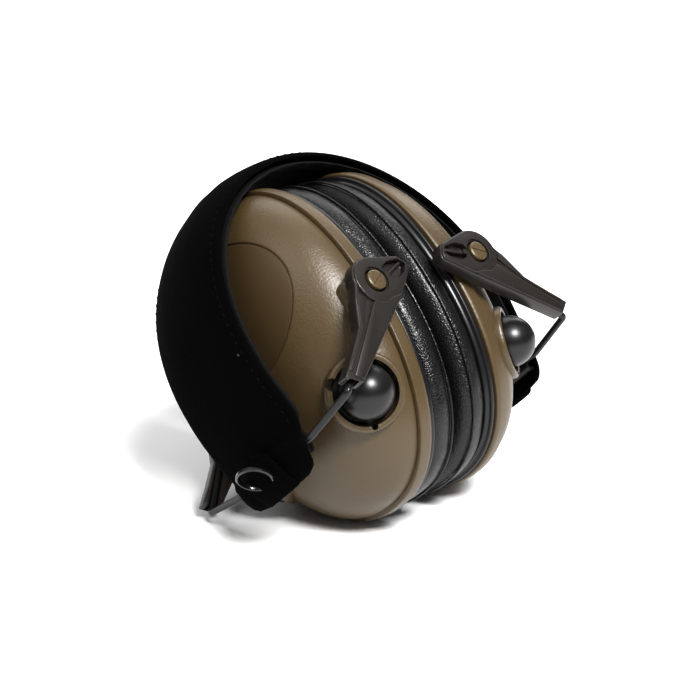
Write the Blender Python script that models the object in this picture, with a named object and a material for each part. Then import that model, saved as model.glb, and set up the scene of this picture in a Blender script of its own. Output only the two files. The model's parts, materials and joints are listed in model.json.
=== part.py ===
"""Folding electronic ear defenders, lying folded on their cup rims and rear arm tips.

The piece is drawn upright in millimetres, with X from the right cup to the left one, Y to the back of
the head and Z towards the crown. One parent empty scales it to metres, tilts it back and sets it on z = 0.
"""
import math

import bmesh
import bpy
from mathutils import Matrix, Vector

MM = 0.001
SIDES = {"right": -1, "left": 1}
ENDS = {"front": -1, "rear": 1}
GAP = 0.3                       # room between pieces that touch

# Cup outline: a superellipse, narrow across (Y) and tall (Z).
CUP_HALF_WIDTH = 35.3
CUP_HALF_HEIGHT = 50.0
CUP_POWER = 2.2
CUP_SEGMENTS = 32

# Stations along X, from the middle plane out to the top of the dome.
CUSHION_FACE = 1.3
CUSHION_BACK = 11.0
PLATE_BACK = 13.9
RIM_INNER = 14.2
RIM_OUTER = 18.6
DOME_BASE = 18.9
DOME_HEIGHT = 19.0
DOME_INSET = 2.0
SHELL_WALL = 2.2
DOME_RINGS = 5

# Nameplate: an oval let into the upper half of the dome.
PLATE_CENTRE_Z = 15.5
PLATE_HALF_WIDTH = 24.5
PLATE_HALF_HEIGHT = 20.0
PLATE_RECESS = 1.1
PLATE_SEGMENTS = 24

# Collar with the microphone at the front, and the control or the battery cap at the back.
COLLAR_CENTRE = Vector((30.5, 26.0, -23.0))
COLLAR_AXIS = Vector((0.55, 0.78, -0.30)).normalized()
COLLAR_RADIUS = 11.0
POCKET_RADIUS = 9.3
BUTTON_RADIUS = 8.7
SPEAKER_RADIUS = 17.2

# Pivot pins and arms. The arms run down the wire legs, from the pin towards the band's end.
PIVOT = Vector((21.2, 0.0, 0.7))
ARM_FACE = 41.0                 # outer face of an arm's head, across Y
ARM_THICK = 4.6
ARM_SLOPE = 0.06                # the bar leans in towards the band
LEG_ANGLE = math.radians(-46.4)
LEG_OFFSET = 0.9
LEG_ACROSS = 37.1
LEG_START = 12.0
LEG_END = 36.2
WIRE_RADIUS = 1.0
CHANNEL_WIDTH = 2.8
PIN_HEAD_RADIUS = 3.05
PIN_RADIUS = 1.5
BOSS_HALF_HEIGHT = 4.8          # the block on the shell that holds the pin
BOSS_INNER = 28.0
BOSS_FACE = 35.2                # clear of the arm's inner face where the bar leans in
BOSS_TOP = 27.0

# Band: round over the crown, straight below, with rounded ends.
BAND_CENTRE_Z = -2.0
BAND_SIDE_RADIUS = 49.7         # inner surface at the sides
BAND_CROWN_RADIUS = 56.2        # inner surface at the crown, clear of the cups
BAND_EDGE_DROP = 4.8            # the crown's edges sag below its middle
BAND_HALF_WIDTH = 18.4
BAND_TURN = math.radians(100.0)
BAND_STRAIGHT = 22.0
BAND_END_HALF_WIDTH = 11.0
BAND_ROUNDING = 11.0
LAYER = 1.6
STRAP_THICK = 0.8
BAND_SHARES = (-1.0, -0.55, 0.0, 0.55, 1.0)   # where the layers' points lie across the band
STRAP_SHARES = (-0.55, 0.0, 0.55)
MIDDLE_DEPTH = 2.3
HEM_GAP = 2.2
HEM_REACH = 5.0
HINGE_RUN = 17.6                # straight run from the round part to the hinge wire
SLEEVE_RADIUS = 1.9
SLEEVE_BORE = 1.15
SLEEVE_HALF_LENGTH = 14.0
STUD_RADIUS = 6.2

TILT_BACK = math.radians(42.5)  # how far the folded muff lies back on its arm tips

COLOURS = {                     # linear base colour, roughness, metallic
    "olive_plastic": ((0.135, 0.105, 0.068), 0.42, 0.0),
    "nameplate_olive": ((0.105, 0.080, 0.048), 0.45, 0.0),
    "black_plastic": ((0.030, 0.029, 0.028), 0.40, 0.0),
    "arm_plastic": ((0.055, 0.052, 0.048), 0.38, 0.0),
    "leatherette": ((0.012, 0.012, 0.013), 0.30, 0.0),
    "band_fabric": ((0.006, 0.006, 0.007), 0.90, 0.0),
    "foam": ((0.020, 0.020, 0.021), 0.95, 0.0),
    "black_steel": ((0.035, 0.035, 0.037), 0.32, 0.8),
    "spring_steel": ((0.30, 0.30, 0.31), 0.30, 1.0),
    "circuit_board": ((0.010, 0.085, 0.035), 0.50, 0.0),
    "speaker_metal": ((0.20, 0.20, 0.21), 0.35, 0.9),
    "battery_jacket": ((0.050, 0.070, 0.110), 0.35, 0.4),
}


def make_material(slot):
    colour, roughness, metallic = COLOURS[slot]
    material = bpy.data.materials.new(slot)
    material.use_nodes = True
    shader = material.node_tree.nodes["Principled BSDF"]
    shader.inputs["Base Color"].default_value = (*colour, 1.0)
    shader.inputs["Roughness"].default_value = roughness
    shader.inputs["Metallic"].default_value = metallic
    return material


def to_object(name, bm, slot, side=1):
    """Turns a bmesh drawn for the left side into an object on either side, with its faces pointing out."""
    if side < 0:
        bmesh.ops.scale(bm, vec=(-1, 1, 1), verts=bm.verts)
    bmesh.ops.recalc_face_normals(bm, faces=bm.faces)
    mesh = bpy.data.meshes.new(name)
    bm.to_mesh(mesh)
    bm.free()
    mesh.materials.append(materials[slot])
    mesh.shade_smooth()
    mesh.set_sharp_from_angle(angle=math.radians(35))
    piece = bpy.data.objects.new(name, mesh)
    bpy.context.collection.objects.link(piece)
    piece.parent = stand
    return piece


def oval(half_width, half_height, power, count):
    """Points (y, z) around a superellipse."""
    points = []
    for k in range(count):
        turn = 2 * math.pi * k / count
        c, s = math.cos(turn), math.sin(turn)
        reach = (abs(c / half_width) ** power + abs(s / half_height) ** power) ** (-1 / power)
        points.append((reach * c, reach * s))
    return points


def cup_ring(bm, x, inset=0.0, scale=1.0):
    """One ring of vertices on the cup's outline at station x."""
    width = (CUP_HALF_WIDTH - inset) * scale
    height = (CUP_HALF_HEIGHT - inset) * scale
    return [bm.verts.new((x, y, z)) for y, z in oval(width, height, CUP_POWER, CUP_SEGMENTS)]


def join_rings(bm, first, second):
    count = len(first)
    for k in range(count):
        n = (k + 1) % count
        bm.faces.new((first[k], first[n], second[n], second[k]))


def loft(rings, bm, closed=False):
    """Skins rings in order, closed round on itself or capped at both ends."""
    for first, second in zip(rings, rings[1:]):
        join_rings(bm, first, second)
    if closed:
        join_rings(bm, rings[-1], rings[0])
    else:
        bm.faces.new(rings[0])
        bm.faces.new(list(reversed(rings[-1])))


def cup_loft(stations, closed=False):
    """A solid from (x, inset) stations on the cup's outline."""
    bm = bmesh.new()
    loft([cup_ring(bm, x, inset) for x, inset in stations], bm, closed)
    return bm


def dome_x(y, z, wall=0.0):
    """Height of the dome over the point (y, z)."""
    width = CUP_HALF_WIDTH - DOME_INSET - wall
    height = CUP_HALF_HEIGHT - DOME_INSET - wall
    reach = (abs(y / width) ** CUP_POWER + abs(z / height) ** CUP_POWER) ** (1 / CUP_POWER)
    return DOME_BASE + (DOME_HEIGHT - wall) * math.sqrt(max(0.0, 1.0 - reach * reach))


def dome_shell():
    """The dome as one skin: outer surface up, inner surface down, joined round the base."""
    bm = bmesh.new()
    rings = []
    for wall in (0.0, SHELL_WALL):
        level = []
        for k in range(DOME_RINGS + 1):
            lean = 0.96 * (math.pi / 2) * k / DOME_RINGS
            x = DOME_BASE + (DOME_HEIGHT - wall) * math.sin(lean)
            level.append(cup_ring(bm, x, DOME_INSET + wall, math.cos(lean)))
        rings.append(level)
    outer, inner = rings
    loft_open(bm, outer)
    loft_open(bm, inner)
    join_rings(bm, outer[0], inner[0])
    return bm


def loft_open(bm, rings):
    """Skins rings and closes only the last one."""
    for first, second in zip(rings, rings[1:]):
        join_rings(bm, first, second)
    bm.faces.new(rings[-1])


def oval_patch(depth_in, depth_out, shrink, clear_outside=False):
    """A slab under the nameplate's outline that follows the dome, between two depths below its surface."""
    bm = bmesh.new()
    sheets = []
    for depth in (depth_in, depth_out):
        sheet = [[], [], []]
        for ring, share in enumerate((1.0, 0.7, 0.36)):
            width = (PLATE_HALF_WIDTH - shrink) * share
            height = (PLATE_HALF_HEIGHT - shrink) * share
            for y, dz in oval(width, height, 2.0, PLATE_SEGMENTS):
                z = PLATE_CENTRE_Z + dz
                x = dome_x(y, z) - depth
                if clear_outside and depth == depth_out:
                    x = DOME_BASE + DOME_HEIGHT + 3.0
                sheet[ring].append(bm.verts.new((x, y, z)))
        sheets.append(sheet)
        loft_open(bm, sheet)
    join_rings(bm, sheets[0][0], sheets[1][0])
    return bm


def axis_frame(origin, axis):
    """A matrix that puts +Z on the axis, with its origin at the point given."""
    turn = Vector((0, 0, 1)).rotation_difference(axis).to_matrix().to_4x4()
    return Matrix.Translation(origin) @ turn


def turned(profile, count, origin, axis):
    """A solid turned about an axis from (radius, height) points; radius 0 ends on the axis."""
    bm = bmesh.new()
    loops = []
    for radius, height in profile:
        if radius < 1e-6:
            loops.append([bm.verts.new((0, 0, height))])
            continue
        angles = [2 * math.pi * k / count for k in range(count)]
        loops.append([bm.verts.new((radius * math.cos(t), radius * math.sin(t), height)) for t in angles])
    for first, second in zip(loops, loops[1:]):
        for k in range(count):
            n = (k + 1) % count
            corners = [first[k % len(first)], first[n % len(first)],
                       second[n % len(second)], second[k % len(second)]]
            bm.faces.new(list(dict.fromkeys(corners)))
    for end in (loops[0], loops[-1]):
        if len(end) > 1:
            bm.faces.new(end)
    bmesh.ops.transform(bm, matrix=axis_frame(origin, axis), verts=bm.verts)
    return bm


def rod(radius, start, end, count=16):
    """A plain cylinder between two points."""
    axis = end - start
    return turned([(radius, 0), (radius, axis.length)], count, start, axis.normalized())


def block(low, high, bevel=0.0):
    """A box between two corners, with its edges taken off."""
    bm = bmesh.new()
    bmesh.ops.create_cube(bm, size=1.0)
    size = Vector(high) - Vector(low)
    bmesh.ops.scale(bm, vec=size, verts=bm.verts)
    bmesh.ops.translate(bm, vec=(Vector(high) + Vector(low)) / 2, verts=bm.verts)
    if bevel:
        bmesh.ops.bevel(bm, geom=bm.edges[:], offset=bevel, segments=1, profile=0.5,
                        affect="EDGES", material=-1)
    return bm


def combine(piece, bm, operation, side):
    """Cuts or joins a tool into a piece with an exact Boolean, then drops the tool."""
    tool = to_object("tool", bm, "black_plastic", side)
    change = piece.modifiers.new(operation.lower(), "BOOLEAN")
    change.operation = operation
    change.solver = "EXACT"
    change.object = tool
    bpy.context.view_layer.update()
    graph = bpy.context.evaluated_depsgraph_get()
    mesh = bpy.data.meshes.new_from_object(piece.evaluated_get(graph))
    piece.modifiers.clear()
    piece.data = mesh
    bpy.data.objects.remove(tool)


# ---- cups ------------------------------------------------------------------------------------

def across(vector, end):
    """A left-rear vector taken to the front or the rear."""
    return Vector((vector.x, vector.y * end, vector.z))


def collar_point(end, along):
    return across(COLLAR_CENTRE + COLLAR_AXIS * along, end)


def make_shell(prefix, side):
    shell = to_object(f"{prefix}_cup_shell", dome_shell(), "olive_plastic", side)
    for end in ENDS.values():
        foot = Vector((DOME_BASE + 0.05, BOSS_INNER * end, PIVOT.z - BOSS_HALF_HEIGHT))
        top = Vector((BOSS_TOP, BOSS_FACE * end, PIVOT.z + BOSS_HALF_HEIGHT))
        low = Vector((foot.x, min(foot.y, top.y), foot.z))
        high = Vector((top.x, max(foot.y, top.y), top.z))
        combine(shell, block(low, high, 1.5), "UNION", side)
        combine(shell, rod(COLLAR_RADIUS, collar_point(end, -6.5), collar_point(end, 0.6), 20),
                "UNION", side)
    below_base = block((0.0, -60.0, -60.0), (DOME_BASE - 0.05, 60.0, 60.0))
    combine(shell, below_base, "DIFFERENCE", side)
    for end in ENDS.values():
        combine(shell, rod(POCKET_RADIUS, collar_point(end, -4.0), collar_point(end, 6.0), 20),
                "DIFFERENCE", side)
        inside = Vector((PIVOT.x, 20.0 * end, PIVOT.z))
        outside = Vector((PIVOT.x, 40.0 * end, PIVOT.z))
        combine(shell, rod(PIN_RADIUS + GAP, inside, outside, 12), "DIFFERENCE", side)
    combine(shell, oval_patch(PLATE_RECESS, -5.0, 0.0, True), "DIFFERENCE", side)
    return shell


def make_cup(prefix, side):
    make_shell(prefix, side)
    rim = cup_loft([(RIM_INNER, 0.5), (RIM_INNER + 0.8, 0.0), (RIM_OUTER - 0.9, 0.1), (RIM_OUTER, 1.0),
                    (RIM_OUTER, 4.6), (RIM_INNER, 4.6)], closed=True)
    to_object(f"{prefix}_cup_rim", rim, "olive_plastic", side)
    plate = cup_loft([(CUSHION_BACK + GAP, 2.2), (CUSHION_BACK + 0.9, 0.9), (PLATE_BACK - 0.4, 0.8),
                      (PLATE_BACK, 1.3), (PLATE_BACK, 17.0), (CUSHION_BACK + GAP, 17.0)], closed=True)
    to_object(f"{prefix}_cushion_plate", plate, "black_plastic", side)
    cushion = cup_loft([(CUSHION_BACK, 3.0), (CUSHION_BACK - 2.2, 1.0), (CUSHION_BACK - 5.4, 0.7),
                        (CUSHION_FACE + 1.4, 3.2), (CUSHION_FACE, 7.5), (CUSHION_FACE, 11.5),
                        (CUSHION_FACE + 2.4, 15.5), (CUSHION_BACK, 16.5)], closed=True)
    to_object(f"{prefix}_ear_cushion", cushion, "leatherette", side)
    liner = cup_loft([(8.4, 17.6), (10.8, 17.4)])
    to_object(f"{prefix}_foam_liner", liner, "foam", side)
    to_object(f"{prefix}_nameplate", oval_patch(PLATE_RECESS - GAP, 0.25, GAP), "nameplate_olive", side)
    baffle = cup_loft([(RIM_INNER + 0.2, 5.0), (RIM_INNER + 1.9, 5.0)])
    speaker_axis = Vector((1, 0, 0))
    baffle_disc = to_object(f"{prefix}_baffle", baffle, "black_plastic", side)
    combine(baffle_disc, rod(SPEAKER_RADIUS + 0.4, Vector((10, 0, 0)), Vector((20, 0, 0)), 24), "DIFFERENCE", side)
    speaker = turned([(SPEAKER_RADIUS - 2.2, 0), (SPEAKER_RADIUS, 0.6), (SPEAKER_RADIUS, 2.6),
                      (SPEAKER_RADIUS - 4.2, 4.2), (SPEAKER_RADIUS - 8.2, 5.6)], 24,
                     Vector((RIM_INNER + 0.4, 0, 0)), speaker_axis)
    to_object(f"{prefix}_speaker", speaker, "speaker_metal", side)
    to_object(f"{prefix}_circuit_board", block((20.8, -15.0, -6.0), (22.3, 15.0, 28.0)),
              "circuit_board", side)
    mic = turned([(BUTTON_RADIUS, 0), (BUTTON_RADIUS, 3.5)]
                 + [(BUTTON_RADIUS * math.cos(t), 3.5 + BUTTON_RADIUS * math.sin(t))
                    for t in (math.radians(a) for a in (18, 36, 54, 72))]
                 + [(0, 3.5 + BUTTON_RADIUS)], 20, collar_point(-1, -3.5), across(COLLAR_AXIS, -1))
    to_object(f"{prefix}_microphone_windscreen", mic, "black_plastic", side)
    to_object(f"{prefix}_microphone_capsule", rod(2.6, collar_point(-1, -10.4), collar_point(-1, -7.0), 12),
              "speaker_metal", side)


def make_rear_button(name, side, ribs):
    """The turning control, or the cap over the batteries, in the rear collar."""
    bm = turned([(8.0, 0), (8.7, 0.6), (8.7, 4.6), (7.6, 5.8), (0, 6.2)], ribs,
                collar_point(1, -3.5), COLLAR_AXIS)
    button = to_object(name, bm, "black_plastic", side)
    slot_along = COLLAR_AXIS.cross(Vector((0, 0, 1))).normalized()
    centre = collar_point(1, 2.9)
    combine(button, rod(0.9, centre - slot_along * 5.5, centre + slot_along * 5.5, 8), "DIFFERENCE", side)


# ---- arms, pins and wire ---------------------------------------------------------------------

def leg_point(along, aside, y):
    """A point in the arm's own plane: along the leg from the pivot, and to its outer side."""
    c, s = math.cos(LEG_ANGLE), math.sin(LEG_ANGLE)
    return Vector((PIVOT.x + along * c - aside * s, y, PIVOT.z + along * s + aside * c))


def arm_outline():
    """(along, aside) corners: a head like a teardrop, and a bar that tapers to its tip."""
    head = [(-11.8, -4.7), (-11.6, -7.6), (-10.6, -9.9), (1.2, -8.4)]
    bar = [(32.4, -1.7), (33.4, 3.6), (26.0, 2.9), (17.0, 2.4), (9.0, 4.9)]
    round_start, round_end = math.radians(52), math.radians(150)
    shoulder = []
    for k in range(5):
        turn = round_start + (round_end - round_start) * k / 4
        shoulder.append((7.3 * math.cos(turn), 7.3 * math.sin(turn)))
    return head + bar + shoulder


def make_arm(name, side, end):
    bm = bmesh.new()
    faces = []
    for skin in (ARM_FACE, ARM_FACE - ARM_THICK):
        ring = []
        for along, aside in arm_outline():
            lean = ARM_SLOPE * max(0.0, along - 4.0)
            ring.append(bm.verts.new(leg_point(along, aside, end * (skin - lean))))
        faces.append(ring)
    loft(faces, bm)
    arm = to_object(name, bm, "arm_plastic", side)
    hole_in = Vector((PIVOT.x, end * 30.0, PIVOT.z))
    hole_out = Vector((PIVOT.x, end * 50.0, PIVOT.z))
    combine(arm, rod(PIN_HEAD_RADIUS + GAP, hole_in, hole_out, 20), "DIFFERENCE", side)
    half = CHANNEL_WIDTH / 2
    channel = bmesh.new()
    rings = []
    for along in (LEG_START - 2.5, LEG_END + 4.0):
        corners = [(LEG_OFFSET - half, 30.0), (LEG_OFFSET + half, 30.0),
                   (LEG_OFFSET + half, LEG_ACROSS + half), (LEG_OFFSET - half, LEG_ACROSS + half)]
        rings.append([channel.verts.new(leg_point(along, aside, end * y)) for aside, y in corners])
    loft(rings, channel)
    combine(arm, channel, "DIFFERENCE", side)


def make_pin(name, side, end):
    """A shouldered pin: its head fills the arm's eye and its shank runs into the cup's boss."""
    start = Vector((PIVOT.x, end * (ARM_FACE + 0.5), PIVOT.z))
    inner = Vector((0, -end, 0))
    bm = turned([(PIN_HEAD_RADIUS - 0.3, 0), (PIN_HEAD_RADIUS, 0.3), (PIN_HEAD_RADIUS, 3.6),
                 (PIN_RADIUS, 3.6), (PIN_RADIUS, 12.0)], 20, start, inner)
    to_object(name, bm, "olive_plastic", side)


def round_corners(corners, radius, steps=5):
    """A polyline with each inner corner replaced by an arc of points."""
    points = [corners[0]]
    for before, corner, after in zip(corners, corners[1:], corners[2:]):
        a, b = (before - corner).normalized(), (after - corner).normalized()
        half = a.angle(b) / 2
        reach = radius / math.tan(half)
        centre = corner + (a + b).normalized() * radius / math.sin(half)
        start, stop = corner + a * reach - centre, corner + b * reach - centre
        sweep = start.angle(stop)
        for k in range(steps + 1):
            share = k / steps
            weight_a = math.sin((1 - share) * sweep) / math.sin(sweep)
            weight_b = math.sin(share * sweep) / math.sin(sweep)
            points.append(centre + start * weight_a + stop * weight_b)
    points.append(corners[-1])
    return points


def make_bail(name, side):
    """The U-shaped wire: two legs in the arms, joined through the band's hem."""
    hinge = band_point(BAND_TURN, HINGE_RUN, 0.0, MIDDLE_DEPTH)
    rear = [leg_point(LEG_START, LEG_OFFSET, LEG_ACROSS), leg_point(LEG_END, LEG_OFFSET, LEG_ACROSS),
            Vector((hinge.x, SLEEVE_HALF_LENGTH + 4.5, hinge.z))]
    front = [across(p, -1) for p in reversed(rear)]
    path = round_corners(rear + front, 2.6)
    curve = bpy.data.curves.new(name, "CURVE")
    curve.dimensions = "3D"
    curve.bevel_depth = WIRE_RADIUS
    curve.bevel_resolution = 2
    curve.use_fill_caps = True
    spline = curve.splines.new("POLY")
    spline.points.add(len(path) - 1)
    for point, place in zip(spline.points, path):
        point.co = (place.x * side, place.y, place.z, 1.0)
    curve.materials.append(materials["black_steel"])
    wire = bpy.data.objects.new(name, curve)
    bpy.context.collection.objects.link(wire)
    wire.parent = stand


# ---- headband --------------------------------------------------------------------------------

def band_point(turn, run, y, depth):
    """A point in the band: turn from the crown, run down the straight end, across y, out by depth."""
    lift = max(0.0, math.cos(turn)) ** 1.2
    rise = (BAND_CROWN_RADIUS - BAND_SIDE_RADIUS) * lift - BAND_EDGE_DROP * lift * (y / BAND_HALF_WIDTH) ** 2
    outward = Vector((math.sin(turn), 0, math.cos(turn)))
    along = Vector((math.cos(turn), 0, -math.sin(turn)))
    place = outward * (BAND_SIDE_RADIUS + rise + depth) + along * run
    return Vector((place.x, y, place.z + BAND_CENTRE_Z))


def hem_gap(run):
    """Half the room between lining and cover: enough for the strap, and more round the hinge sleeve."""
    plain = STRAP_THICK / 2 + GAP
    share = max(0.0, 1.0 - ((run - HINGE_RUN) / HEM_REACH) ** 2)
    return plain + (HEM_GAP - plain) * min(1.0, 1.6 * share)


def band_stations(split_gap):
    """(turn, run) from the crown's split to the end of the band."""
    first = split_gap / BAND_CROWN_RADIUS
    stations = [(first + (BAND_TURN - first) * k / 12, 0.0) for k in range(13)]
    runs = [6.0, 12.0, 14.2, 16.0, HINGE_RUN, 19.2, 20.8, BAND_STRAIGHT]
    return stations + [(BAND_TURN, run) for run in runs]


def half_width_at(run):
    """Half the band's width: full, then rounded off towards the end."""
    into = max(0.0, run - (BAND_STRAIGHT - BAND_ROUNDING)) / BAND_ROUNDING
    drop = (BAND_HALF_WIDTH - BAND_END_HALF_WIDTH) * (1 - math.sqrt(max(0.0, 1 - into * into)))
    return BAND_HALF_WIDTH - drop


def make_layer(name, side, slot, depths, shares, last_run):
    """One layer of one half of the band, as a closed slab between two depths."""
    bm = bmesh.new()
    rings = []
    for turn, run in band_stations(0.15):
        if run > last_run:
            break
        low, high = depths(run)
        width = half_width_at(run)
        under = [band_point(turn, run, share * width, low) for share in shares]
        over = [band_point(turn, run, share * width, high) for share in reversed(shares)]
        rings.append([bm.verts.new(p) for p in under + over])
    loft(rings, bm)
    to_object(name, bm, slot, side)


def make_band_half(prefix, side):
    make_layer(f"{prefix}_band_lining", side, "band_fabric",
               lambda run: (MIDDLE_DEPTH - hem_gap(run) - LAYER, MIDDLE_DEPTH - hem_gap(run)),
               BAND_SHARES, BAND_STRAIGHT)
    make_layer(f"{prefix}_band_cover", side, "band_fabric",
               lambda run: (MIDDLE_DEPTH + hem_gap(run), MIDDLE_DEPTH + hem_gap(run) + LAYER),
               BAND_SHARES, BAND_STRAIGHT)
    make_layer(f"{prefix}_spring_strap", side, "spring_steel",
               lambda run: (MIDDLE_DEPTH - STRAP_THICK / 2, MIDDLE_DEPTH + STRAP_THICK / 2),
               STRAP_SHARES, 12.0)
    hinge = band_point(BAND_TURN, HINGE_RUN, 0.0, MIDDLE_DEPTH)
    start = Vector((hinge.x, -SLEEVE_HALF_LENGTH, hinge.z))
    sleeve = to_object(f"{prefix}_hinge_sleeve",
                       rod(SLEEVE_RADIUS, start, start + Vector((0, 2 * SLEEVE_HALF_LENGTH, 0)), 16),
                       "black_plastic", side)
    bore = rod(SLEEVE_BORE, start - Vector((0, 5, 0)), start + Vector((0, 2 * SLEEVE_HALF_LENGTH + 5, 0)), 12)
    combine(sleeve, bore, "DIFFERENCE", side)
    outward = Vector((math.sin(BAND_TURN), 0, math.cos(BAND_TURN)))
    seat = band_point(BAND_TURN, HINGE_RUN - 1.4, 0.0, MIDDLE_DEPTH + HEM_GAP + LAYER + GAP)
    stud = turned([(STUD_RADIUS - 0.5, 0), (STUD_RADIUS, 0.4), (STUD_RADIUS, 1.2), (STUD_RADIUS - 0.7, 1.7),
                   (STUD_RADIUS - 1.6, 1.2), (0, 1.2)], 24, seat, outward)
    to_object(f"{prefix}_press_stud", stud, "black_steel", side)


for leftover in list(bpy.data.objects):
    bpy.data.objects.remove(leftover)
materials = {slot: make_material(slot) for slot in COLOURS}
stand = bpy.data.objects.new("folded_muff", None)
bpy.context.collection.objects.link(stand)

for side_name, side_sign in SIDES.items():
    make_cup(side_name, side_sign)
    make_band_half(side_name, side_sign)
    make_bail(f"{side_name}_wire_bail", side_sign)
    for end_name, end_sign in ENDS.items():
        make_arm(f"{side_name}_{end_name}_arm", side_sign, end_sign)
        make_pin(f"{side_name}_{end_name}_pivot_pin", side_sign, end_sign)
make_rear_button("volume_knob", SIDES["right"], 24)
make_rear_button("battery_cap", SIDES["left"], 16)
for number, cell_y in (("1", -5.6), ("2", 5.6)):
    cell = turned([(1.9, -22.25), (1.9, -21.4), (5.2, -21.2), (5.2, 22.2), (0, 22.25)], 16,
                  Vector((27.8, cell_y, 0)), Vector((0, 0, 1)))
    to_object(f"battery_{number}", cell, "battery_jacket", SIDES["left"])

# Tilt the folded muff back, set it on z = 0 and centre it on the origin.
stand.scale = (MM, MM, MM)
stand.rotation_euler = (-TILT_BACK, 0, 0)
bpy.context.view_layer.update()
graph = bpy.context.evaluated_depsgraph_get()
corners = []
for piece in bpy.data.objects:
    if piece.type in {"MESH", "CURVE"}:
        shape = piece.evaluated_get(graph).to_mesh()
        corners += [piece.matrix_world @ v.co for v in shape.vertices]
lowest = Vector([min(c[i] for c in corners) for i in range(3)])
highest = Vector([max(c[i] for c in corners) for i in range(3)])
stand.location = (-(lowest.x + highest.x) / 2, -(lowest.y + highest.y) / 2, -lowest.z)
bpy.context.view_layer.update()
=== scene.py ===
# %% [markdown]
# # Folding electronic ear defenders
# The muff lies folded: two olive cups face each other inside a padded black headband. The mechanical
# frame gives every size and place; this script gives the looks. Everything is drawn upright in
# millimetres, as the designer would draw it, and then laid back and scaled to metres in one step.

# %% Load the frame
import math
import json

import bmesh
import bpy
import numpy as np
from mathutils import Matrix, Vector, noise


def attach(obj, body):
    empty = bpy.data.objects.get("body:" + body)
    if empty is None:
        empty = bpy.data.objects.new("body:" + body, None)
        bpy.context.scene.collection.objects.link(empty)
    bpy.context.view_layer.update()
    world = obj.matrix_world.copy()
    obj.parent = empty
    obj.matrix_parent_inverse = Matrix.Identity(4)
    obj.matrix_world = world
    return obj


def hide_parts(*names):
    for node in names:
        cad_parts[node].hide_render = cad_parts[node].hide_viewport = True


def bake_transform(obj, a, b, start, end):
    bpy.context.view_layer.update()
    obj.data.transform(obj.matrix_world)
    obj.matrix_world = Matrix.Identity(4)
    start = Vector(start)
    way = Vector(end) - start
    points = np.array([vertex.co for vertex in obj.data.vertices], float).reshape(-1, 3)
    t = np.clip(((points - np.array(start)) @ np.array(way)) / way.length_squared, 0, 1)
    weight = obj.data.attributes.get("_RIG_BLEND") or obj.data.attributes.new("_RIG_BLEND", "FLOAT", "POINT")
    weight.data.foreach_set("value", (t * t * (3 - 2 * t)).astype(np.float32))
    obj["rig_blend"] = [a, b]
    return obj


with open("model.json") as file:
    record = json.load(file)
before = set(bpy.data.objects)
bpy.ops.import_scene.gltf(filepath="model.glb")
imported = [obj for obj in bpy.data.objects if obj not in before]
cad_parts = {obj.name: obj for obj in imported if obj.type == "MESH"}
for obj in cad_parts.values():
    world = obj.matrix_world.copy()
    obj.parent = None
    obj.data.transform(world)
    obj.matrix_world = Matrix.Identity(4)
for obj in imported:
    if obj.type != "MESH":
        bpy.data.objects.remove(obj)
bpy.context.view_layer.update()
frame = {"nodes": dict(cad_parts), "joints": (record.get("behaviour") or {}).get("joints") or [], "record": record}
record = frame["record"]
joints = {joint["name"]: joint for joint in frame["joints"]}

# %% [markdown]
# ## From the drawing to the resting pose
# The muff's own upright axes are tilted in the frame, because it lies back on its arm tips. The band's
# hinge runs along the muff's Y axis, and the head mount is the middle of the drawing, so those two facts
# are enough to find the tilt and the place. One matrix then carries each finished mesh there.

# %% The laying-back matrix
MM = 0.001
across_head = -Vector(joints["band_flex"]["axis"]).normalized()
tilt = math.atan2(-across_head.z, across_head.y)
head_mount = next(m for m in record["mounts"] if m["name"] == "head")
TO_FRAME = (Matrix.Translation(Vector(head_mount["pos_m"])) @ Matrix.Rotation(-tilt, 4, "X")
            @ Matrix.Scale(MM, 4))
SIDES = {"right": -1, "left": 1}
ENDS = {"front": -1, "rear": 1}
print(f"laid back by {math.degrees(tilt):.1f} degrees")


def upright_box(node):
    """A node's lowest and highest corners in the upright drawing, in millimetres."""
    back = TO_FRAME.inverted()
    places = [back @ v.co for v in frame["nodes"][node].data.vertices]
    low = Vector([min(p[i] for p in places) for i in range(3)])
    high = Vector([max(p[i] for p in places) for i in range(3)])
    return low, high


# %% [markdown]
# ## Sizes taken from the frame
# The cups' stations are read from the frame's own pieces, so a changed frame moves the looks with it.
# Only the outlines' formulas are repeated here.

# %% Cup and arm sizes
rim_low, rim_high = upright_box("left_cup_rim")
shell_low, shell_high = upright_box("left_cup_shell")
plate_low, plate_high = upright_box("left_cushion_plate")
cushion_low, cushion_high = upright_box("left_ear_cushion")
pin_low, pin_high = upright_box("left_rear_pivot_pin")
arm_low, arm_high = upright_box("left_rear_arm")

CUP_HALF_WIDTH = rim_high.y
CUP_HALF_HEIGHT = rim_high.z
CUP_POWER = 2.2
DOME_BASE = rim_high.x + 0.3
DOME_TOP = shell_high.x
DOME_HEIGHT = DOME_TOP - DOME_BASE
DOME_INSET = 1.5
SHELL_WALL = 2.2
PIVOT = Vector(((pin_low.x + pin_high.x) / 2, 0.0, (pin_low.z + pin_high.z) / 2))
ARM_FACE = arm_high.y
NAMEPLATE_Z = 15.5
NAMEPLATE_HALF = (24.5, 20.0)
NAMEPLATE_RECESS = 1.1
COLLAR_CENTRE = Vector((30.5, 26.0, -23.0))
COLLAR_AXIS = Vector((0.55, 0.78, -0.30)).normalized()
print(f"cup {2 * CUP_HALF_HEIGHT:.1f} x {2 * CUP_HALF_WIDTH:.1f} mm, dome {DOME_HEIGHT:.1f} mm high")

# %% [markdown]
# ## Finishes
# Each finish is a Principled shader with a fine relief and a slow change of colour, both read from the
# piece's own coordinates in metres. A helper builds the shared network, and each finish gives its scales:
# spark-eroded grain on the shells, pebbled leatherette, knitted cloth, satin wire.

# %% A shared recipe for finishes
def link(tree, source, target):
    tree.links.new(source, target)


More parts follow.
